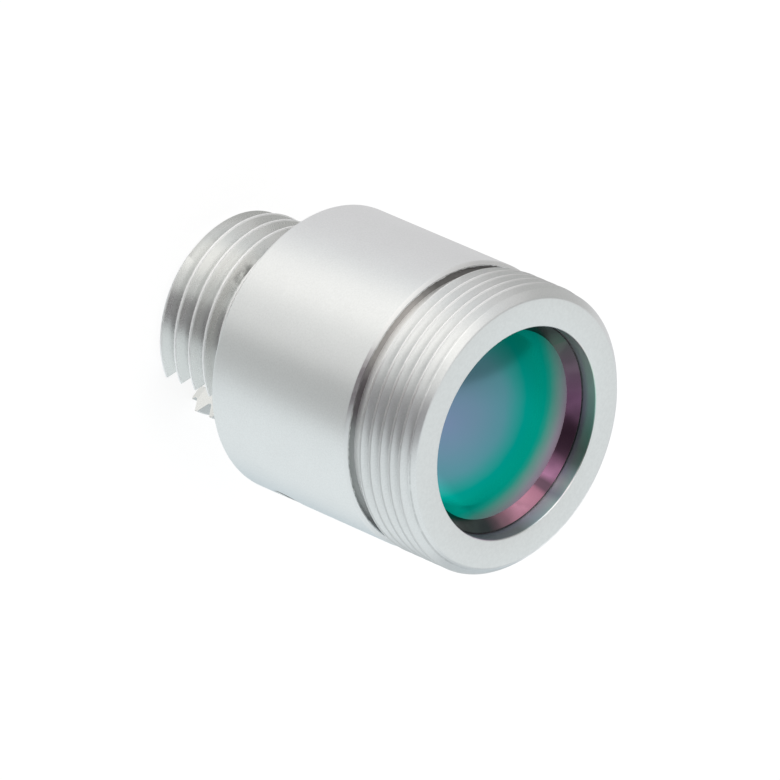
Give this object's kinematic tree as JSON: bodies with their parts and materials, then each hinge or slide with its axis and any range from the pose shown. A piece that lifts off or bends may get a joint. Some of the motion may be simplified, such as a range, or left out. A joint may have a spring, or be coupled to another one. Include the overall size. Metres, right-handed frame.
{
  "type": "fiber collimator",
  "caption": "Slim round fiber collimator: lens behind the open front of a threaded metal barrel, keyed threaded nipple with a ferrule socket at the rear.",
  "frame": {"origin": "on the optical axis, at the end face of the connector nipple that the part stands on", "axes": "+Z along the optical axis, the way the collimated beam leaves through the lens; +X through the middle of the nipple's key slot"},
  "size_m": [0.011, 0.011, 0.0149],
  "materials": {
    "barrel_steel": "fine turned",
    "receptacle_steel": "turned and milled",
    "coated_lens": "polished, infrared coated, opaque to the eye",
    "epoxy": "cured, satin",
    "ceramic": "ground ceramic",
    "stop_steel": "turned"
  },
  "bodies": {
    "root": {"barrel": "barrel_steel", "receptacle": "receptacle_steel", "lens": "coated_lens", "lens_adhesive": "epoxy", "port_adhesive": "epoxy", "ferrule_sleeve": "ceramic", "ferrule_stop": "stop_steel"}
  },
  "joints": []
}
